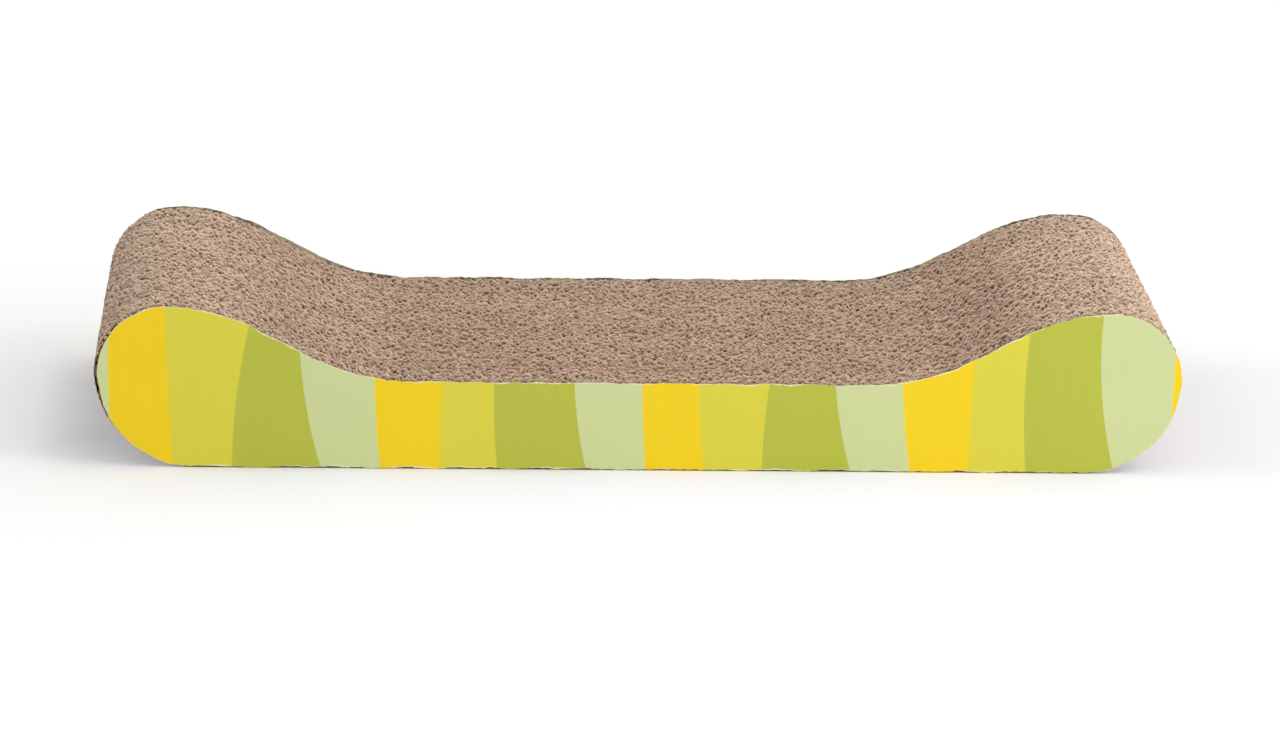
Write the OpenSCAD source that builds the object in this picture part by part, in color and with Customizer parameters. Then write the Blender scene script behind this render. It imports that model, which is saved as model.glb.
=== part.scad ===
/* [Boards] */
// Length of each board from tip to tip
board_len = 496.5; // [430:0.5:600]
// Height of the two raised ends
end_h = 75; // [70:1:86]
// Height of the low middle
seat_h = 41; // [34:1:46]
// Thickness of one board, its flutes and both liners together
board_t = 4.95; // [3:0.05:7]
// How many boards are glued side by side
board_count = 45; // [20:1:58]

/* [Flutes] */
// Length of one wave of the fluted paper
flute_pitch = 8.7; // [6:0.1:11]
// Thickness of the flat paper on each face of a board
liner_t = 0.4; // [0.2:0.05:0.8]
// Thickness of the fluted paper between them
medium_t = 0.3; // [0.2:0.05:0.6]
// How far each board's waves start after the last one's, as a share of a wave
wave_step = 0.382; // [0:0.001:1]

/* [Outline] */
// Radius under each end, from the base up to the tip
toe_r = 44; // [38:1:50]
// Radius of the back of each raised end
shoulder_r = 90; // [60:1:110]
// Slope from the raised ends down to the middle, in degrees
ramp_angle = 27.5; // [25:0.5:32]
// Radius at the foot of each slope
valley_r = 104; // [60:1:120]

/* [Side panels] */
// Thickness of the printed card glued to each side
panel_t = 1.2; // [0.6:0.1:3]
// How much shorter the two cards are than the boards, all of it at the left end
panel_trim = 1.5; // [0:0.1:4]

/* [Hidden] */
board_color = "#b19680";
panel_color = "#cfc84a";
// Sides of a full circle where the outline is drawn on a screen
$fn = 120;

// Radius above each tip: its quarter circle ends level at the top of the end
nose_r = end_h - toe_r;
// Straight stretch of the slope, between the shoulder and the valley
ramp_len = (end_h - seat_h - (shoulder_r + valley_r) * (1 - cos(ramp_angle))) / sin(ramp_angle);
// Where the shoulder, the slope and the valley end, measured along the board from the tip
shoulder_x = nose_r + shoulder_r * sin(ramp_angle);
ramp_x = shoulder_x + ramp_len * cos(ramp_angle);
valley_x = ramp_x + valley_r * sin(ramp_angle);
// Heights where the shoulder and the slope end
shoulder_z = end_h - shoulder_r * (1 - cos(ramp_angle));
ramp_z = shoulder_z - ramp_len * sin(ramp_angle);
// Width of all the boards together
stack_w = board_count * board_t;
// Length of each card from tip to tip
panel_len = board_len - panel_trim;

// Room between the two flat papers of a board, which the waves fill
wave_h = board_t - 2 * liner_t;
// Slope of a wave's flank, in degrees
flank_angle = atan2(2 * wave_h, flute_pitch);
// Between two flanks lies a triangle: its width on the flat paper and its height
flute_w = flute_pitch - medium_t / sin(flank_angle);
flute_rise = flute_w / 2 * tan(flank_angle);
flute_count = ceil(board_len / flute_pitch) + 1;

// The corners where one stretch of an end's outline meets the next, with the tip at x = 0
end_corners = [
    [toe_r, 0], [0, toe_r], [nose_r, end_h], [shoulder_x, shoulder_z], [ramp_x, ramp_z], [valley_x, seat_h]
];
last_corner = len(end_corners) - 1;
// Both ends in one loop, the second one as a mirror image in reverse order
function all_corners(length) = concat(
    [for (corner = end_corners) [corner.x - length / 2, corner.y]],
    [for (i = [last_corner : -1 : 0]) [length / 2 - end_corners[i].x, end_corners[i].y]]
);

// Boards are numbered from the front, which faces -Y
board_names = [for (i = [1 : board_count]) str("board_", i < 10 ? "0" : "", i)];

// A quarter of a disc: what its circle has in common with a square on the given side of its centre
module quarter(radius, corner) {
    intersection() {
        circle(radius);
        translate(corner) square(radius);
    }
}

// The round stretches of one end, which stand out over its corners: toe, nose and shoulder
module end_rounds(thickness) {
    linear_extrude(thickness)
        translate([toe_r, toe_r])
            quarter(toe_r, [-toe_r, -toe_r]);
    linear_extrude(thickness)
        translate([nose_r, toe_r])
            quarter(nose_r, [-nose_r, 0]);
    linear_extrude(thickness)
        intersection() {
            translate([nose_r, end_h - shoulder_r]) circle(shoulder_r);
            translate([nose_r, toe_r]) square([shoulder_x - nose_r, end_h - toe_r]);
        }
}

// A sheet cut to the outline, lying flat: corners joined by straight lines, rounded outwards at
// the ends and hollowed at the foot of each slope
module flat_sheet(length, thickness) {
    difference() {
        union() {
            linear_extrude(thickness) polygon(all_corners(length));
            for (side = [0, 1])
                mirror([side, 0, 0])
                    translate([-length / 2, 0, 0])
                        end_rounds(thickness);
        }
        for (side = [0, 1])
            mirror([side, 0, 0])
                translate([valley_x - length / 2, seat_h + valley_r, -thickness])
                    linear_extrude(3 * thickness)
                        circle(valley_r);
    }
}

// A sheet cut to the outline, standing on its edge with its front face at the given y
module outline_sheet(length, front_y, thickness) {
    translate([0, front_y + thickness, 0])
        rotate([90, 0, 0])
            flat_sheet(length, thickness);
}

// The flutes of a board that open to its front paper, from below the base to above the ends.
// Those between them are left filled, so that each board is one solid with few faces.
module flutes(start_x, paper_y) {
    translate([0, 0, -flute_pitch])
        linear_extrude(end_h + 2 * flute_pitch)
            for (j = [0 : flute_count - 1])
                translate([start_x + j * flute_pitch, paper_y])
                    polygon([[-flute_w / 2, 0], [flute_w / 2, 0], [0, flute_rise]]);
}

// One board of the stack, its flutes running up and down
module board(i) {
    front_y = -stack_w / 2 + i * board_t;
    waves = i * wave_step;
    start_x = -board_len / 2 + (waves - floor(waves)) * flute_pitch;
    color(board_color)
        difference() {
            outline_sheet(board_len, front_y, board_t);
            flutes(start_x, front_y + liner_t);
        }
}

// The printed card on the front of the stack
module front_panel() {
    color(panel_color)
        translate([panel_trim / 2, 0, 0])
            outline_sheet(panel_len, -stack_w / 2 - panel_t, panel_t);
}

// The printed card on the back of the stack
module back_panel() {
    color(panel_color)
        translate([panel_trim / 2, 0, 0])
            outline_sheet(panel_len, stack_w / 2, panel_t);
}

front_panel();
back_panel();
for (i = [0 : board_count - 1])
    board(i);
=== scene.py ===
# %% [markdown]
# # Dressing a cardboard cat scratcher
# The bench is a stack of corrugated boards, all cut to one outline and glued side by side, with a
# printed card on each long side. The construction model gives every board and card its true place
# and size, as a slab, with one row of straight channels in each board. Here each slab is exchanged for
# what it really is, sheets of paper and their flutes, and then lit and photographed. Nothing is moved:
# a new piece always fills the slab that it replaces.

# %% Load the construction model
import math
import random

import bpy
from mathutils import Matrix, Vector


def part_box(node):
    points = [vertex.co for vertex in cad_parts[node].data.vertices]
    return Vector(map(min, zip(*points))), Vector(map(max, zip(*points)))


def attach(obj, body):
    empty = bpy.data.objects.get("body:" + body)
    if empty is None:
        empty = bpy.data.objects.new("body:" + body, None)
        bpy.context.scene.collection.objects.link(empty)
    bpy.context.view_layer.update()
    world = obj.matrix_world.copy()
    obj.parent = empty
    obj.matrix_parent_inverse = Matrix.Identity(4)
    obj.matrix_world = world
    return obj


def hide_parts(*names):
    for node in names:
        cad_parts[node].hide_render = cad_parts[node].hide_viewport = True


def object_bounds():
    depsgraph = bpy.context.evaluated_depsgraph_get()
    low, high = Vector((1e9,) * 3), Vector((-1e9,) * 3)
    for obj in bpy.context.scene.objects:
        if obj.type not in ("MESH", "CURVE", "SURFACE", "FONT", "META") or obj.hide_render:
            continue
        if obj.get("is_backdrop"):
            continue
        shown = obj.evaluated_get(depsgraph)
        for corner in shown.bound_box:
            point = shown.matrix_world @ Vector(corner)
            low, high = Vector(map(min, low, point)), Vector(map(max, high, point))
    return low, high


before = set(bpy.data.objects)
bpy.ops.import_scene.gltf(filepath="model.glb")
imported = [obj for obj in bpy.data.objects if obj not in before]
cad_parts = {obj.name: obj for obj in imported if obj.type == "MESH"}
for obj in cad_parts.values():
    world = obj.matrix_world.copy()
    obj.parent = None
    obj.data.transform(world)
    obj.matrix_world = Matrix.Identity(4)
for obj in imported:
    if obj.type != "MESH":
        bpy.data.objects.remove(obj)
cad_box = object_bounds()
board_names = sorted(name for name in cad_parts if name.startswith("board_"))
print(len(board_names), "boards, the whole bench spans", cad_box)

# %% [markdown]
# ## The outline
# Every board and card has the same outline. Each end is a quarter circle from the base up to the
# tip, a tighter one from the tip up to the top, a long shoulder, a straight slope and a valley that
# runs out level. Instead of drawing it, we work out how high its lower and upper edges are at a
# given distance from the tip. Written with a few helpers that take numbers as well as node sockets,
# the same formula serves as a check here and as a set of Math nodes later.

# %% Sizes of the outline, in metres
MM = 0.001
seat_height = 41 * MM
toe_radius = 44 * MM
shoulder_radius = 90 * MM
valley_radius = 104 * MM
ramp_angle = math.radians(27.5)


def outline_of(node):
    """The sizes of the outline that a board or a card is cut to."""
    low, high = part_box(node)
    size = {
        "Length": high.x - low.x,
        "End height": high.z,
        "Seat height": seat_height,
        "Toe radius": toe_radius,
        "Nose radius": high.z - toe_radius,
        "Shoulder radius": shoulder_radius,
        "Valley radius": valley_radius,
        "Ramp slope": math.tan(ramp_angle),
    }
    size["Shoulder run"] = size["Shoulder radius"] * math.sin(ramp_angle)
    size["Valley run"] = size["Valley radius"] * math.sin(ramp_angle)
    rounded_drop = (size["Shoulder radius"] + size["Valley radius"]) * (1 - math.cos(ramp_angle))
    size["Ramp run"] = (size["End height"] - size["Seat height"] - rounded_drop) / size["Ramp slope"]
    size["Nose bend"] = size["Nose radius"] * math.pi / 2
    size["Half edge"] = size["Length"] / 2 + size["Nose bend"] - size["Nose radius"]
    return size


board_outline = outline_of(board_names[0])
card_outline = outline_of("front_panel")
slab_low, slab_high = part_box(board_names[0])
caliper = slab_high.y - slab_low.y
print("a board is", round(caliper / MM, 2), "mm thick")
for piece, outline in (("board", board_outline), ("card", card_outline)):
    print("a", piece, "is", round(outline["Length"] / MM, 1), "mm long")


# %% Sums that work on numbers and on sockets
class Wire:
    """A node's output that can be used in Python sums. Each operation adds a Math node."""

    def __init__(self, works, socket):
        self.works = works
        self.socket = socket

    def output(self, name):
        return Wire(self.works, self.socket.node.outputs[name])

    def __add__(self, other):
        return self.works.maths("ADD", self, other)

    def __sub__(self, other):
        return self.works.maths("SUBTRACT", self, other)

    def __rsub__(self, other):
        return self.works.maths("SUBTRACT", other, self)

    def __mul__(self, other):
        return self.works.maths("MULTIPLY", self, other)

    def __truediv__(self, other):
        return self.works.maths("DIVIDE", self, other)

    def __rtruediv__(self, other):
        return self.works.maths("DIVIDE", other, self)

    def __abs__(self):
        return self.works.maths("ABSOLUTE", self)

    __radd__ = __add__
    __rmul__ = __mul__


def either(operation, plain, *values):
    """A Math node if any value is a socket, and otherwise Python's own sum."""
    for value in values:
        if isinstance(value, Wire):
            return value.works.maths(operation, *values)
    return plain(*values)


def largest(first, second):
    return either("MAXIMUM", max, first, second)


def smallest(first, second):
    return either("MINIMUM", min, first, second)


def within(value, low, high):
    return smallest(largest(value, low), high)


def fade(value, empty, full):
    """0 at one value and 1 at another, with an even rise between them."""
    return within((value - empty) / (full - empty), 0.0, 1.0)


def root(value):
    return either("SQRT", math.sqrt, largest(value, 0.0))


def arc_drop(radius, run):
    """How far an arc falls away from its level tangent over a run."""
    return radius - root(radius * radius - run * run)


def cut_heights(from_tip, size):
    """The heights of the lower and the upper edge at a distance from the tip."""
    toe_left = largest(size["Toe radius"] - from_tip, 0.0)
    nose_left = largest(size["Nose radius"] - from_tip, 0.0)
    past_nose = from_tip - size["Nose radius"]
    on_shoulder = within(past_nose, 0.0, size["Shoulder run"])
    on_ramp = within(past_nose - size["Shoulder run"], 0.0, size["Ramp run"])
    past_ramp = past_nose - size["Shoulder run"] - size["Ramp run"]
    valley_left = size["Valley run"] - within(past_ramp, 0.0, size["Valley run"])
    lower = arc_drop(size["Toe radius"], toe_left)
    upper = size["End height"] - arc_drop(size["Nose radius"], nose_left)
    upper = upper - arc_drop(size["Shoulder radius"], on_shoulder) - on_ramp * size["Ramp slope"]
    valley_drop = arc_drop(size["Valley radius"], size["Valley run"])
    upper = upper - valley_drop + arc_drop(size["Valley radius"], valley_left)
    return lower, upper


tip_heights = cut_heights(0.0, board_outline)
print("at the tip both edges are", [round(height / MM, 1) for height in tip_heights], "mm high")

# %% Compare the formula with the construction model
card_low, card_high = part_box("front_panel")
misses = []
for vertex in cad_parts["front_panel"].data.vertices:
    from_tip = card_outline["Length"] / 2 - abs(vertex.co.x - (card_low.x + card_high.x) / 2)
    lower, upper = cut_heights(from_tip, card_outline)
    misses.append(min(abs(vertex.co.z - lower), abs(vertex.co.z - upper)))
print("the card's corners lie", round(max(misses) / MM, 3), "mm off the formula at most")

# %% [markdown]
# ## Building node trees in words
# Geometry Nodes and materials are both node trees. Clicking them together is fine for one, but here
# several trees share the same sums, so a small helper adds any node from its type, its settings and
# its inputs. Sums go through the Wire class above, so that a line of Python reads as a formula.

# %% A helper that adds nodes
white = (1.0, 1.0, 1.0, 1.0)
# A noise runs from 0 to 1 and stays mostly near this value
noise_middle = 0.5


class Works:
    """Adds nodes to one tree, in the same words for geometry and for materials."""

    def __init__(self, tree):
        self.tree = tree

    def node(self, kind, settings=None, inputs=None, output=0):
        made = self.tree.nodes.new(kind)
        for name, value in (settings or {}).items():
            setattr(made, name, value)
        for name, value in (inputs or {}).items():
            self.feed(made.inputs[name], value)
        return Wire(self, made.outputs[output] if made.outputs else None)

    def feed(self, socket, value):
        for item in value if isinstance(value, list) else [value]:
            if isinstance(item, Wire):
                self.tree.links.new(item.socket, socket)
            else:
                socket.default_value = item

    def maths(self, operation, *values):
        return self.node("ShaderNodeMath", {"operation": operation}, dict(enumerate(values)))

    def vector(self, x, y, z):
        return self.node("ShaderNodeCombineXYZ", inputs={"X": x, "Y": y, "Z": z})

    def noise(self, place, detail=0.0):
        """Smooth random values that turn about once per unit of the place."""
        return self.node("ShaderNodeTexNoise", inputs={"Vector": place, "Scale": 1.0, "Detail": detail})

    def blend(self, share, first, second):
        """A colour between two colours. Inputs 6 and 7 and output 2 of a Mix node are colours."""
        inputs = {"Factor": share, 6: first, 7: second}
        return self.node("ShaderNodeMix", {"data_type": "RGBA"}, inputs, output=2)

    def scaled(self, vector, factor):
        """A vector or a colour times a number."""
        inputs = {"Vector": vector, "Scale": factor}
        return self.node("ShaderNodeVectorMath", {"operation": "SCALE"}, inputs)

    def product(self, first, second):
        """Two places or two colours multiplied part by part."""
        return self.node("ShaderNodeVectorMath", {"operation": "MULTIPLY"}, {0: first, 1: second})

    def dimmed(self, colour, share, tint):
        """A colour times a tint, where the share is 1."""
        return self.product(colour, self.blend(share, white, tint))


steps = [name for name in vars(Works) if not name.startswith("_")]
print("the helper's words are", ", ".join(steps))

# %% [markdown]
# ## Paints
# A colour picked on a screen isn't the share of light that a surface returns, because a screen's scale
# spends most of its steps on the dark tones. Blender's shaders count light. So each paint is written
# here as it looks on a screen and is then turned into light. Every finish of the bench is paper, so
# all of them end in one dull shader, with a little relief for the fibres or the print.

# %% Paints, written as they look on a screen
def linear(channel):
    """One 0 to 255 screen value as light, by the curve of the sRGB standard."""
    share = channel / 255
    return share / 12.92 if share <= 0.04045 else ((share + 0.055) / 1.055) ** 2.4


def paint(red, green, blue):
    return (linear(red), linear(green), linear(blue), 1.0)


def new_finish(name):
    """An empty material, its node helper and the place of each point on the object."""
    material = bpy.data.materials.new(name)
    material.use_nodes = True
    material.node_tree.nodes.clear()
    works = Works(material.node_tree)
    place = works.node("ShaderNodeTexCoord", output="Object")
    return material, works, place


def close_finish(works, colour, roughness, height, relief, gloss):
    """The paper shader that every finish here ends in, with its relief in metres."""
    bump = works.node("ShaderNodeBump", inputs={"Strength": 1.0, "Distance": relief, "Height": height})
    shader = works.node(
        "ShaderNodeBsdfPrincipled",
        inputs={
            "Base Color": colour,
            "Roughness": roughness,
            "Normal": bump,
            "Specular IOR Level": gloss,
        },
    )
    works.node("ShaderNodeOutputMaterial", inputs={"Surface": shader})


middle_grey = 128
print("a screen's middle grey is only", round(linear(middle_grey), 2), "of its full light")

# %% [markdown]
# ## Kraft paper
# Corrugated board is made of unbleached brown paper. Seen close it is mottled, with long fibres that
# lie mostly one way and a few darker specks. Where it is cut, torn fibre ends catch the light, so the
# cut is paler and rougher than the face of the sheet. A picture could show this, but a recipe of
# noises works at any distance. Two attributes that the geometry carries steer it: "cut" is 1 on a cut
# edge and fades to 0 a few millimetres behind it, and "tone" makes one sheet darker than the next.
# Shade is painted into the paper deep in a flute, and into the level middle with its two slopes, less
# in the hollow at the foot of each slope.

# %% The kraft paper finish
kraft_face = paint(246, 215, 189)
kraft_dark = paint(202, 168, 139)
kraft_torn = paint(250, 229, 207)
flute_shade = (0.34, 0.26, 0.20, 1.0)
seat_painted_shade = (0.89, 0.85, 0.83, 1.0)
# How often each noise turns in a metre, and how strongly it darkens the paper
patch_turns = 28.0
cloud_turns = 90.0
mottle_turns = 900.0
fibre_turns = (500.0, 3000.0, 3000.0)
patch_weight = 1.3
cloud_weight = 1.2
mottle_weight = 2.6
dark_share = 0.3
# Where the cut counts as torn, how speckled the tear is, and at which value the painted shade in a
# flute is full
torn_from = 0.72
torn_full = 0.92
torn_contrast = 3.6
torn_bare = 1.1
flute_dark = 0.5
# How far from the centre the painted shade of the middle reaches, and where the hollow of each slope,
# with less of it, lies
seat_reach = 193 * MM
seat_full = 161 * MM
hollow_spot = 130 * MM
hollow_reach = 32 * MM
hollow_share = 0.45
paper_roughness = 0.82
fibre_roughness = 0.16
fibre_relief = 0.5
paper_relief = 0.15 * MM
paper_gloss = 0.2


def make_kraft_paper():
    material, works, place = new_finish("kraft_paper")
    cut = works.node("ShaderNodeAttribute", {"attribute_name": "cut"}, output="Fac")
    tone = works.node("ShaderNodeAttribute", {"attribute_name": "tone"}, output="Fac")
    patches = works.noise(works.scaled(place, patch_turns), detail=1.0)
    clouds = works.noise(works.scaled(place, cloud_turns), detail=2.0)
    mottle = works.noise(works.scaled(place, mottle_turns), detail=3.0)
    fibres = works.noise(works.product(place, fibre_turns), detail=2.0)
    shade = (patches - noise_middle) * patch_weight + (clouds - noise_middle) * cloud_weight
    shade = within(shade + (mottle - noise_middle) * mottle_weight + dark_share, 0.0, 1.0)
    torn = fade(cut, torn_from, torn_full) * within(mottle * torn_contrast - torn_bare, 0.0, 1.0)
    colour = works.blend(shade, kraft_face, kraft_dark)
    colour = works.blend(torn, colour, kraft_torn)
    # Painted shade: behind the cut, deep in a flute, the paper is dimmed towards a dark brown
    inside = fade(cut, 1.0, flute_dark)
    colour = works.dimmed(works.scaled(colour, tone), inside, flute_shade)
    # Painted shade: the level middle and its slopes are dimmed, less in the hollow at the foot of each
    # slope
    spot = works.node("ShaderNodeSeparateXYZ", inputs={"Vector": place})
    off_middle = abs(spot.output("X"))
    hollow = fade(abs(off_middle - hollow_spot), hollow_reach, 0.0)
    middle = fade(off_middle, seat_reach, seat_full) - hollow * hollow_share
    colour = works.dimmed(colour, middle, seat_painted_shade)
    roughness = paper_roughness + fibres * fibre_roughness
    close_finish(works, colour, roughness, fibres * fibre_relief + mottle, paper_relief, paper_gloss)
    return material


kraft_paper = make_kraft_paper()
print("made", kraft_paper.name, "with", len(kraft_paper.node_tree.nodes), "nodes")

# %% [markdown]
# ## A sheet that stands on edge
# The papers in a board and the cards on the sides are all sheets cut to the outline. One way to make
# one is to fill the outline and thicken it, but then a sheet can't be waved or crushed near its cut.
# So each sheet is a grid instead. Its rows climb the front of the sheet, cross the cut at the top, go
# down the back and cross the cut at the base, where the last row meets the first, so the sheet is a
# closed solid. A side has four rows: the base cut, a crease just above it, a crease just below the
# top cut, and the top cut. Only the cuts give way. The columns are spaced evenly along the curved
# edge, not along the bench, or the steep tips would be left with long straight facets.

# %% A sheet as a wrapped grid
rows_a_side = 4
rows_around = 2 * rows_a_side
# The crease lies this deep behind the cut, or at this share of the height where the sheet is low
crush_depth = 3.2 * MM
crush_limit = 0.25
# A sheet gives way less where it is lower than this, so that its tips stay closed
full_give = 6 * MM
# How far apart in the noise the base and the top lie, and how much a noise's small swing is stretched
top_lane = 3.0
noise_gain = 4.0
# At the tips the cut sinks less, by this share
tip_hold = 0.4
# Points closer than this are merged where the grid's first row meets its last
seam = 0.002 * MM


class Sheet:
    """One sheet, with what the trees need to know about each of its points."""

    def __init__(self, works, size, columns):
        self.works = works
        self.size = size
        self.grid = works.node(
            "GeometryNodeMeshGrid",
            inputs={"Size X": 2.0, "Size Y": 1.0, "Vertices X": columns, "Vertices Y": rows_around + 1},
        )
        position = works.node("GeometryNodeInputPosition")
        flat = works.node("ShaderNodeSeparateXYZ", inputs={"Vector": position})
        row = (flat.output("Y") + 0.5) * rows_around
        row = works.maths("FLOORED_MODULO", row + 0.5, rows_around) - 0.5
        level = smallest(row, rows_around - 1 - row)
        self.side = works.maths("SIGN", row - (rows_around - 1) / 2)
        self.up = works.maths("SIGN", level - (rows_a_side - 1) / 2)
        top = within(level - rows_a_side / 2, 0.0, 1.0)
        self.cut = top + within(1.0 - level, 0.0, 1.0)
        self.edge = flat.output("X") * size["Half edge"]
        self.end = works.maths("SIGN", self.edge)
        edge_left = size["Half edge"] - abs(self.edge)
        turn = smallest(edge_left / size["Nose radius"], math.pi / 2)
        past_nose = largest(edge_left - size["Nose bend"], 0.0)
        self.from_tip = (1.0 - works.maths("COSINE", turn)) * size["Nose radius"] + past_nose
        self.along = self.end * (size["Length"] / 2.0 - self.from_tip)
        lower, upper = cut_heights(self.from_tip, size)
        tall = upper - lower
        crush = smallest(crush_depth / tall, crush_limit)
        climb = smallest(level, 1.0) * crush + within(level - 1.0, 0.0, 1.0) * (1.0 - crush * 2.0)
        self.height = lower + tall * (climb + top * crush)
        self.give = self.cut * smallest(tall / full_give, 1.0)

    def drift(self, lane, run, spread):
        """A smooth random offset that differs from lane to lane, the same at the base and the top."""
        place = self.works.vector(self.edge / run, lane, 0.0)
        return (self.works.noise(place, detail=1.0) - noise_middle) * (noise_gain * spread)

    def wander(self, lane, run, spread, detail=0.0):
        """An offset of the same kind, but another one at the base than at the top."""
        place = self.works.vector(self.edge / run, lane, self.up * top_lane)
        return (self.works.noise(place, detail=detail) - noise_middle) * (noise_gain * spread)

    def note(self, name, value):
        inputs = {"Geometry": self.grid, "Name": name, "Value": value}
        settings = {"data_type": "FLOAT", "domain": "POINT"}
        self.grid = self.works.node("GeometryNodeStoreNamedAttribute", settings, inputs)

    def stand(self, centre, slope, thickness, recess, shift, lift):
        """Moves the grid to its place. The cut sinks by the recess, square to the outline."""
        works = self.works
        half = self.side * thickness / (root(slope * slope + 1.0) * 2.0)
        toe = within(1.0 - self.from_tip / self.size["Toe radius"], 0.0, 1.0)
        nose = within(1.0 - self.from_tip / self.size["Nose radius"], 0.0, 1.0)
        inward = (nose + toe + (nose - toe) * self.up) * 0.5
        sink = largest(recess, 0.0) * self.give * (1.0 - inward * tip_hold)
        along = self.along - half * slope - self.end * inward * sink + shift
        height = self.height - self.up * root(1.0 - inward * inward) * sink + lift
        place = works.vector(along, centre + half, height)
        moved = works.node("GeometryNodeSetPosition", inputs={"Geometry": self.grid, "Position": place})
        return works.node("GeometryNodeMergeByDistance", inputs={"Geometry": moved, "Distance": seam})


print("a sheet has", rows_around, "rows and gives way down to", crush_depth / MM, "mm behind its cut")

# %% [markdown]
# ## One tree for many pieces
# Building a new tree for each board would be slow, and 45 copies are hard to keep alike. A tree can
# have named inputs instead, as a modifier shows them in Blender. So one tree is built once, run with
# the sizes of each board in turn, and the result is kept as a plain mesh that needs no tree any more.

# %% Trees with named inputs
geometry_socket = "NodeSocketGeometry"
number_socket = "NodeSocketFloat"
material_socket = "NodeSocketMaterial"
sharp_corner = math.radians(60)


def new_tree(name, sizes):
    """A Geometry Nodes tree with one named input for each size, and one for the finish."""
    tree = bpy.data.node_groups.new(name, "GeometryNodeTree")
    tree.interface.new_socket("Geometry", in_out="OUTPUT", socket_type=geometry_socket)
    for label, value in sizes.items():
        socket = tree.interface.new_socket(label, in_out="INPUT", socket_type=number_socket)
        socket.default_value = value
    tree.interface.new_socket("Finish", in_out="INPUT", socket_type=material_socket)
    works = Works(tree)
    given = works.node("NodeGroupInput")
    return works, {label: given.output(label) for label in [*sizes, "Finish"]}


def close_tree(works, sheets, finish):
    """Joins the sheets, rounds their waves but not their cuts, and gives them their finish."""
    joined = works.node("GeometryNodeJoinGeometry", inputs={"Geometry": sheets})
    smooth = works.node(
        "GeometryNodeSetShadeSmooth",
        {"domain": "FACE"},
        {"Geometry": joined, "Shade Smooth": True},
    )
    corner = works.node("GeometryNodeInputMeshEdgeAngle")
    sharp = works.node(
        "FunctionNodeCompare",
        {"operation": "GREATER_THAN"},
        {"A": corner, "B": sharp_corner},
    )
    edged = works.node(
        "GeometryNodeSetShadeSmooth",
        {"domain": "EDGE"},
        {"Geometry": smooth, "Selection": sharp, "Shade Smooth": False},
    )
    real = works.node("GeometryNodeRealizeInstances", inputs={"Geometry": edged})
    dressed = works.node("GeometryNodeSetMaterial", inputs={"Geometry": real, "Material": finish})
    works.node("NodeGroupOutput", inputs={"Geometry": dressed})


def make_piece(name, works, sizes, finish):
    """Runs a tree with its own sizes and keeps the result as a plain mesh."""
    maker = bpy.data.objects.new(name + "_maker", bpy.data.meshes.new(name))
    bpy.context.scene.collection.objects.link(maker)
    modifier = maker.modifiers.new("Sheets", "NODES")
    modifier.node_group = works.tree
    for item in works.tree.interface.items_tree:
        if item.in_out == "INPUT":
            modifier[item.identifier] = finish if item.name == "Finish" else sizes[item.name]
    seen = maker.evaluated_get(bpy.context.evaluated_depsgraph_get())
    mesh = bpy.data.meshes.new_from_object(seen)
    bpy.data.objects.remove(maker)
    piece = bpy.data.objects.new(name, mesh)
    bpy.context.scene.collection.objects.link(piece)
    return piece


print("edges sharper than", round(math.degrees(sharp_corner)), "degrees stay sharp")

# %% [markdown]
# ## Corrugated board
# A board is two flat liners with a waved paper, the medium, glued between them. The flutes stand
# upright in the bench, so the cat meets their open ends. The die that cuts the board crushes the
# paper a little: near the cut the waves lean over, flatten and sink, no two alike, and that is what
# gives the bench its lively grain. A texture could only fake the openings, so each board really has
# its liners and its medium, about 42,000 triangles in all. One tree makes them, and the inputs say
# which board it is, so that two neighbours bend their touching liners by the same amount. The liners
# next to the two cards lie deeper, because no neighbour holds them up, and leave a thin dark groove.

# %% The corrugated board tree
liner_thickness = 0.4 * MM
medium_thickness = 0.3 * MM
flute_pitch = 8.7 * MM
liner_columns = 820
medium_columns = 980
# The die's marks: over what length they change, and how far they bend or sink the paper
bend_run = 1.8 * MM
long_dent_run = 1.7 * MM
long_dent = 0.9 * MM
tear_run = 0.9 * MM
tear = 0.6 * MM
liner_recess = 0.7 * MM
medium_recess = 1.2 * MM
medium_tone = 0.94
# The waves' own marks: how they drift, lean and flatten along the board
drift_run = 60 * MM
wave_drift = 0.12
lean_run = 4 * MM
wave_lean = 0.2
flatten_run = 3.5 * MM
wave_flatten = 0.5
# How much fuller than a sine the waves are on their way from crest to crest
fullness = 0.15
# Each use of a noise reads it in a lane of its own
long_dent_lane = 0.4
tear_lane = 0.7
lean_lane = 0.3
flatten_lane = 0.6
medium_lane = 2.5
face_nudge = 0.1
board_sizes = {
    **board_outline,
    "Front": 0.0,
    "Caliper": caliper,
    "Flute pitch": flute_pitch,
    "Flute phase": 0.0,
    "Front lane": 0.0,
    "Back lane": 0.0,
    "Front bend": 0.0,
    "Back bend": 0.0,
    "Front groove": 0.0,
    "Back groove": 0.0,
    "Shift": 0.0,
    "Lift": 0.0,
    "Tone": 1.0,
}


def bent(sheet, size, lane, bend):
    """How far a liner's cut leans out of its plane. Neighbouring boards share this lane."""
    return sheet.wander(size[lane], bend_run, 1.0, detail=0.5) * sheet.give * size[bend]


def torn(sheet, lane, base):
    """How deep the cut lies: long dents of the die and short tears."""
    long_dents = sheet.wander(lane + long_dent_lane, long_dent_run, long_dent)
    return long_dents + sheet.wander(lane + tear_lane, tear_run, tear) + base


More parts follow.
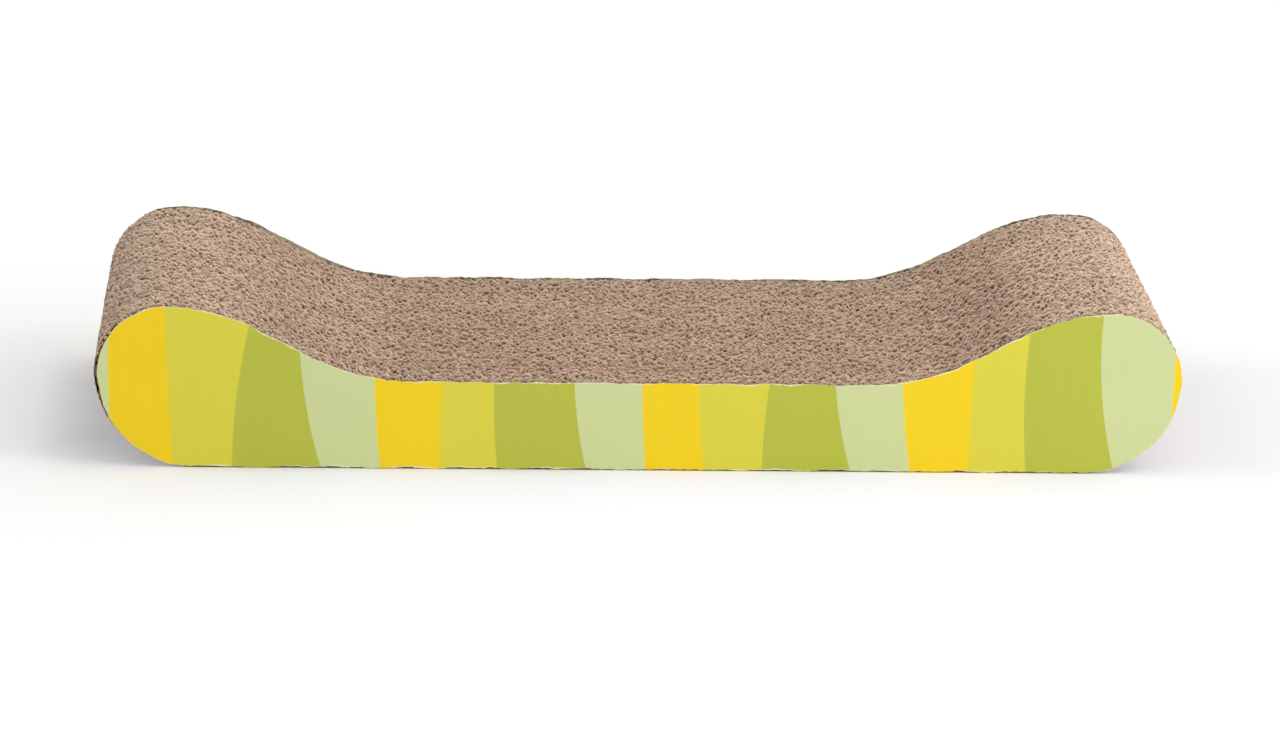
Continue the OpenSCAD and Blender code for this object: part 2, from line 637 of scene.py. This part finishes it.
def make_board_tree():
    works, size = new_tree("corrugated_board", board_sizes)
    sheets = []
    front_inset = liner_thickness / 2
    back_inset = size["Caliper"] - liner_thickness / 2
    for face, inset, nudge in (("Front", front_inset, face_nudge), ("Back", back_inset, -face_nudge)):
        lane = face + " lane"
        liner = Sheet(works, size, liner_columns)
        centre = size["Front"] + inset + bent(liner, size, lane, face + " bend")
        recess = torn(liner, size[lane] + nudge, liner_recess) + size[face + " groove"]
        liner.note("cut", liner.cut)
        liner.note("tone", size["Tone"])
        sheets.append(liner.stand(centre, 0.0, liner_thickness, recess, size["Shift"], size["Lift"]))

    medium = Sheet(works, size, medium_columns)
    front = size["Front"] + liner_thickness + bent(medium, size, "Front lane", "Front bend")
    back = size["Front"] + size["Caliper"] - liner_thickness
    back = back + bent(medium, size, "Back lane", "Back bend")
    own_lane = size["Front lane"] + medium_lane
    drift = medium.drift(own_lane, drift_run, wave_drift)
    lean = medium.wander(own_lane + lean_lane, lean_run, wave_lean) * medium.give
    angle = (medium.along / size["Flute pitch"] + size["Flute phase"] + drift + lean) * math.tau
    flattened = abs(medium.wander(own_lane + flatten_lane, flatten_run, wave_flatten))
    flattened = 1.0 - flattened * medium.give
    sine = works.maths("SINE", angle)
    cosine = works.maths("COSINE", angle)
    swing = (back - front - medium_thickness) * 0.5 * smallest(flattened, 1.0)
    centre = (front + back) * 0.5 + swing * sine * (1.0 + fullness - sine * sine * fullness)
    # The slope of that wave, by the rule for the slope of a power
    slope = swing * cosine * (1.0 + fullness - sine * sine * (3 * fullness))
    slope = slope * math.tau / size["Flute pitch"]
    recess = torn(medium, own_lane, medium_recess)
    medium.note("cut", medium.cut)
    medium.note("tone", size["Tone"] * medium_tone)
    sheets.append(medium.stand(centre, slope, medium_thickness, recess, size["Shift"], size["Lift"]))
    close_tree(works, sheets, size["Finish"])
    return works


board_tree = make_board_tree()
print("the board tree has", len(board_tree.tree.nodes), "nodes")

# %% Make the stack of boards
seed = 12
dice = random.Random(seed)
liner_bend = 1.0 * MM
glue_groove = 0.9 * MM
# Each board's waves start this share of a wave after the last one's, give or take a little
wave_step = 0.382
wave_slip = 0.12
quarter_wave = 0.25
first_crest = quarter_wave + board_outline["Length"] / 2 / flute_pitch
lane_step = 5.0
# How far a board may lie out of line, in millimetres, and how dark or light its paper may be
most_shift = 0.3
most_lift = 0.25
darkest = 0.93
lightest = 1.05
last = len(board_names) - 1
triangles = 0
for number, name in enumerate(board_names):
    low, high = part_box(name)
    sizes = {
        **board_sizes,
        "Front": low.y,
        "Flute phase": first_crest - number * wave_step % 1.0 + dice.uniform(-wave_slip, wave_slip),
        "Front lane": lane_step * number,
        "Back lane": lane_step * (number + 1),
        "Front bend": liner_bend if number > 0 else 0.0,
        "Back bend": liner_bend if number < last else 0.0,
        "Front groove": glue_groove if number == 0 else 0.0,
        "Back groove": glue_groove if number == last else 0.0,
        "Shift": (low.x + high.x) / 2 + dice.uniform(-most_shift, most_shift) * MM,
        "Lift": dice.uniform(0.0, most_lift) * MM,
        "Tone": dice.uniform(darkest, lightest),
    }
    board = make_piece("corrugated_" + name, board_tree, sizes, kraft_paper)
    triangles += sum(len(face.vertices) - 2 for face in board.data.polygons)
    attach(board, "root")
    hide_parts(name)
print("the boards have", triangles, "triangles in all")

# %% [markdown]
# ## The printed cards
# Each long side is closed by a thin card printed in upright bands of yellow, lime, green and pale
# green. The bands repeat every 121 mm, and their edges lean and bow a little. A picture could carry
# them, but edges that are worked out from the height stay sharp at any distance. A card is one more
# sheet from the same grid. It is glued over the flutes, so it shows them as a faint washboard, which
# is real relief here. Along the rim the die has chipped the print, and the pale core shows, more in
# some places than in others.

# %% Colours and layout of the bands
print_start = 3.5 * MM
print_repeat = 121 * MM
# Each band: where it starts in the repeat, its ink, and its edge's lean and bow over the height
bands = (
    (0.00, paint(247, 212, 12), 9 * MM, 7 * MM),
    (0.22, paint(223, 213, 66), 3 * MM, 2 * MM),
    (0.44, paint(187, 192, 66), 4 * MM, 9 * MM),
    (0.775, paint(209, 218, 156), 20 * MM, 13 * MM),
)
card_core = paint(240, 235, 192)
card_back = paint(188, 180, 160)
card_stain = paint(104, 98, 90)
# The edges of the bands are counted to both sides from the one at the start of a repeat
first_edge = -8
last_edge = 9
# Each edge leans a little differently from the last one
sway_reach = 4.5 * MM
sway_step = 2.3
sway_start = 2.8
edge_blur = 0.4 * MM
# How often each noise turns in a metre
ink_cloud_turns = 40.0
ink_grain_turns = 1500.0
chip_turns = 350.0
wear_turns = 55.0
# How much the ink varies, and how strongly chips and wear eat into the rim
ink_base = 0.97
ink_cloud = 0.04
ink_grain = 0.03
chip_weight = 0.5
wear_weight = 0.9
worn_from = 1.61
worn_full = 1.6725
worn_strength = 0.85
stain_from = 0.94
stain_full = 1.14
ink_roughness = 0.5
worn_roughness = 0.35
grain_roughness = 0.06
ink_relief = 0.02 * MM
ink_gloss = 0.35


def make_band_print():
    material, works, place = new_finish("band_print")
    cut = works.node("ShaderNodeAttribute", {"attribute_name": "cut"}, output="Fac")
    outer = works.node("ShaderNodeAttribute", {"attribute_name": "outer"}, output="Fac")
    spot = works.node("ShaderNodeSeparateXYZ", inputs={"Vector": place})
    climb = spot.output("Z") / card_outline["End height"]
    colour = bands[-1][1]
    for edge in range(first_edge, last_edge + 1):
        repeat, band = divmod(edge, len(bands))
        share, ink, lean, bow = bands[band]
        foot = print_start + (repeat + share) * print_repeat
        sway = sway_reach * math.sin(sway_step * edge + sway_start)
        edge_x = foot + climb * (sway - lean) + climb * climb * bow
        passed = within((spot.output("X") - edge_x) / edge_blur + 0.5, 0.0, 1.0)
        colour = works.blend(passed, colour, ink)
    clouds = works.noise(works.scaled(place, ink_cloud_turns), detail=2.0)
    grain = works.noise(works.scaled(place, ink_grain_turns), detail=2.0)
    colour = works.scaled(colour, ink_base + clouds * ink_cloud + grain * ink_grain)
    chips = works.noise(works.scaled(place, chip_turns), detail=2.0)
    wear = works.noise(works.scaled(place, wear_turns), detail=1.0)
    worn = fade(cut + chips * chip_weight + wear * wear_weight, worn_from, worn_full)
    colour = works.blend(worn * worn_strength, colour, card_core)
    # "outer" is 1 on the printed face and 0 on the glued one
    inside = fade(outer, 0.5, 0.25)
    stains = fade(chips + wear, stain_from, stain_full)
    colour = works.blend(inside, colour, works.blend(stains, card_back, card_stain))
    roughness = ink_roughness + worn * worn_roughness + grain * grain_roughness
    close_finish(works, colour, roughness, grain, ink_relief, ink_gloss)
    return material


band_print = make_band_print()
print("made", band_print.name, "with", len(band_print.node_tree.nodes), "nodes")

# %% The card tree
card_columns = 640
washboard_drift = 0.25
dent_run = 2.5 * MM
dent = 0.3 * MM
dent_lane = 0.5
wide_dent_run = 14 * MM
wide_dent = 0.4 * MM
wide_dent_lane = 0.8
card_recess = 0.25 * MM
card_sizes = {
    **card_outline,
    "Front": 0.0,
    "Thickness": card_high.y - card_low.y,
    "Flute pitch": flute_pitch,
    "Washboard": 0.03 * MM,
    "Foot gap": 0.35 * MM,
    "Outer side": -1.0,
    "Lane": 0.0,
    "Shift": 0.0,
}


def make_card_tree():
    works, size = new_tree("side_card", card_sizes)
    card = Sheet(works, size, card_columns)
    drift = card.drift(size["Lane"], drift_run, washboard_drift)
    wave = works.maths("SINE", (card.along / size["Flute pitch"] + drift) * math.tau)
    centre = size["Front"] + size["Thickness"] * 0.5 + wave * size["Washboard"]
    off_floor = within(card.up * -1.0, 0.0, 1.0) * size["Foot gap"]
    dents = card.wander(size["Lane"] + dent_lane, dent_run, dent, detail=1.0)
    dents = dents + card.wander(size["Lane"] + wide_dent_lane, wide_dent_run, wide_dent)
    recess = dents + card_recess + off_floor
    card.note("cut", card.cut)
    card.note("outer", card.side * size["Outer side"] * 0.5 + 0.5)
    thickness = size["Thickness"] - 2.0 * size["Washboard"]
    sheet = card.stand(centre, 0.0, thickness, recess, size["Shift"], 0.0)
    close_tree(works, [sheet], size["Finish"])
    return works


card_tree = make_card_tree()
print("the card tree has", len(card_tree.tree.nodes), "nodes")

# %% Make both cards
first_card_lane = 900.0
for name, outer_side in (("front_panel", -1.0), ("back_panel", 1.0)):
    low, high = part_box(name)
    sizes = {
        **card_sizes,
        "Front": low.y,
        "Outer side": outer_side,
        "Lane": first_card_lane + outer_side,
        "Shift": (low.x + high.x) / 2,
    }
    card = make_piece("printed_" + name, card_tree, sizes, band_print)
    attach(card, "root")
    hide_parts(name)
    print(card.name, "has", len(card.data.polygons), "faces")

# %% [markdown]
# ## The studio
# The photograph is a plain product shot on white. Most of the light comes from all around, so the sky
# is an even white dome, a little stronger towards the right. Two soft boxes at the front right add the
# rest: they make the right end of the bench the brightest and send the shadow to the left. A white
# floor with that shadow would nearly do, but the photograph also has soft greys beside the bench, from
# lamps and walls that it doesn't show. They are painted on the floor, which fades from them to the
# pure white of the backdrop further off. The camera alone sees the greys and that white, so they
# change nothing in the light on the bench.

# %% The floor
reach = 6.0
floor_corners = [(-reach, -reach, 0), (reach, -reach, 0), (reach, reach, 0), (-reach, reach, 0)]
floor_mesh = bpy.data.meshes.new("floor")
floor_mesh.from_pydata(floor_corners, [], [(0, 1, 2, 3)])
floor = bpy.data.objects.new("floor", floor_mesh)
bpy.context.scene.collection.objects.link(floor)
print("the floor is", 2 * reach, "m wide")

# %% Where on the floor a point lies
floor_paint, works, place = new_finish("floor_paint")
spot = works.node("ShaderNodeSeparateXYZ", inputs={"Vector": place})
across = spot.output("X")
# How far past the flat of the base a point lies, along the bench and across it
flat_end = card_outline["Length"] / 2 - card_outline["Toe radius"]
beside = abs(across) - flat_end
beyond = abs(spot.output("Y")) - cad_box[1].y
off_base = 10 * MM
clear = fade(largest(beside, beyond), 0.0, off_base)
print("the base is flat for", round(2 * flat_end / MM), "mm")

# %% The shadows painted on the floor
floor_white = (0.8, 0.8, 0.8, 1.0)
black = (0.0, 0.0, 0.0, 1.0)
front_painted_shade = (0.89, 0.89, 1.0, 1.0)
left_shade = 0.33
right_shade = 0.12
# Each row: what is measured, where its grey is gone and where it is full
left_fades = (
    (across, -280 * MM, -248 * MM),
    (across, 0.0, -50 * MM),
    (beyond, 12 * MM, -58 * MM),
)
right_fades = (
    (across, 235 * MM, 280 * MM),
    (across, 750 * MM, 250 * MM),
    (beyond, 60 * MM, -20 * MM),
)
front_fades = (
    (beyond, 80 * MM, 0.0),
    (beside, 60 * MM, 0.0),
)


def patch(fades):
    """A patch on the floor: the product of its fades."""
    share = 1.0
    for value, empty, full in fades:
        share = share * fade(value, empty, full)
    return share


# Painted shade: in front of the bench the floor is dimmed with a cool grey, which takes the yellow out
# of the light that the card throws on it
near_front = patch(front_fades)
shade = works.blend(patch(left_fades) * left_shade + patch(right_fades) * right_shade, white, black)
shade = works.dimmed(shade, near_front * clear, front_painted_shade)
seen_directly = works.node("ShaderNodeLightPath", output="Is Camera Ray")
floor_colour = works.blend(seen_directly, floor_white, shade)
shaded = works.node("ShaderNodeBsdfDiffuse", inputs={"Color": floor_colour})
print("the greys take away at most", left_shade, "at the left and", right_shade, "at the right")

# %% The white that only the camera sees
glow_strength = 1.2
glow_near = 0.1
glow_far = 0.45
glow_front = 0.15
near_reach = 280 * MM
# Beyond the near reach what is left of the floor turns white over one metre
far_reach = near_reach + 1.0
out_beside = largest(beside, 0.0)
out_beyond = largest(beyond, 0.0)
away = root(out_beside * out_beside + out_beyond * out_beyond)
share = glow_near + fade(away, 0.0, near_reach) * (glow_far - glow_near)
share = share + fade(away, near_reach, far_reach) * (1.0 - glow_far) + near_front * glow_front
glow = works.node("ShaderNodeEmission", inputs={"Color": white, "Strength": glow_strength})
glowing = seen_directly * clear * share
mixed = works.node("ShaderNodeMixShader", inputs={0: glowing, 1: shaded, 2: glow})
works.node("ShaderNodeOutputMaterial", inputs={"Surface": mixed})
floor_mesh.materials.append(floor_paint)
floor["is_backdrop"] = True
print("the floor's finish has", len(floor_paint.node_tree.nodes), "nodes")

# %% The sky
sky_strength = 0.80
sky_lean = 0.15
sky = bpy.data.worlds.new("sky")
sky.use_nodes = True
sky.node_tree.nodes.clear()
works = Works(sky.node_tree)
direction = works.node("ShaderNodeTexCoord", output="Generated")
towards = works.node("ShaderNodeSeparateXYZ", inputs={"Vector": direction})
lighting = (towards.output("X") * sky_lean + 1.0) * sky_strength
seen_directly = works.node("ShaderNodeLightPath", output="Is Camera Ray")
strength = lighting + seen_directly * (1.0 - lighting)
background = works.node("ShaderNodeBackground", inputs={"Color": white, "Strength": strength})
works.node("ShaderNodeOutputWorld", inputs={"Surface": background})
bpy.context.scene.world = sky
weakest = (1.0 - sky_lean) * sky_strength
strongest = (1.0 + sky_lean) * sky_strength
print("the sky's strength runs from", round(weakest, 2), "to", round(strongest, 2))

# %% Lamps
low_place = (1.15, -1.05, 0.42)
low_width = 0.8
high_place = (0.9, -0.6, 0.9)
high_width = 0.6
lamp_energy = 3.8


def add_lamp(name, width, energy, place):
    """A square soft box that looks at the middle of the bench."""
    lamp = bpy.data.lights.new(name, "AREA")
    lamp.energy = energy
    lamp.size = width
    stand = bpy.data.objects.new(name, lamp)
    bpy.context.scene.collection.objects.link(stand)
    stand.location = place
    stand.rotation_euler = Vector(place).to_track_quat("Z", "Y").to_euler()


add_lamp("low_softbox", low_width, lamp_energy, low_place)
add_lamp("high_softbox", high_width, lamp_energy, high_place)
for name, place in (("low", low_place), ("high", high_place)):
    print("the", name, "soft box hangs", round(Vector(place).length, 2), "m from the bench")

# %% [markdown]
# ## The camera
# A long lens from about three metres away, 13 degrees above level. The photograph says so: the far
# edge of the bench looks only 7 percent shorter than the near one, and a short lens close by would
# shrink it much more. The picture is also turned by one degree, and seen a little from the left.

# %% Camera
aim = Vector((0.0049, 0.0, 0.0191))
distance = 3.292
pitch = math.radians(13.1)
yaw = math.radians(2.4)
roll = math.radians(1.0)
sensor_width = 36.0
focal_length = 196.1
clip_distance = 50.0
level_share = math.cos(pitch)
forward = Vector((math.sin(yaw) * level_share, math.cos(yaw) * level_share, -math.sin(pitch)))
level_right = Vector((math.cos(yaw), -math.sin(yaw), 0.0))
level_up = level_right.cross(forward)
right = level_right * math.cos(roll) + level_up * math.sin(roll)
up = level_up * math.cos(roll) - level_right * math.sin(roll)
lens = bpy.data.cameras.new("camera")
lens.sensor_width = sensor_width
lens.lens = focal_length
lens.clip_end = clip_distance
camera = bpy.data.objects.new("camera", lens)
bpy.context.scene.collection.objects.link(camera)
turned = Matrix((right, up, -forward)).transposed().to_4x4()
camera.matrix_world = Matrix.Translation(aim - forward * distance) @ turned
bpy.context.scene.camera = camera
bpy.context.scene.view_settings.view_transform = "Standard"
print("the camera stands", distance, "m away, with a lens of", focal_length, "mm")

# %% Print the sizes of the construction model and of the scene
new_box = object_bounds()
sizes = {"cad": [list(corner) for corner in cad_box], "scene": [list(corner) for corner in new_box]}
print("sizes:", sizes)
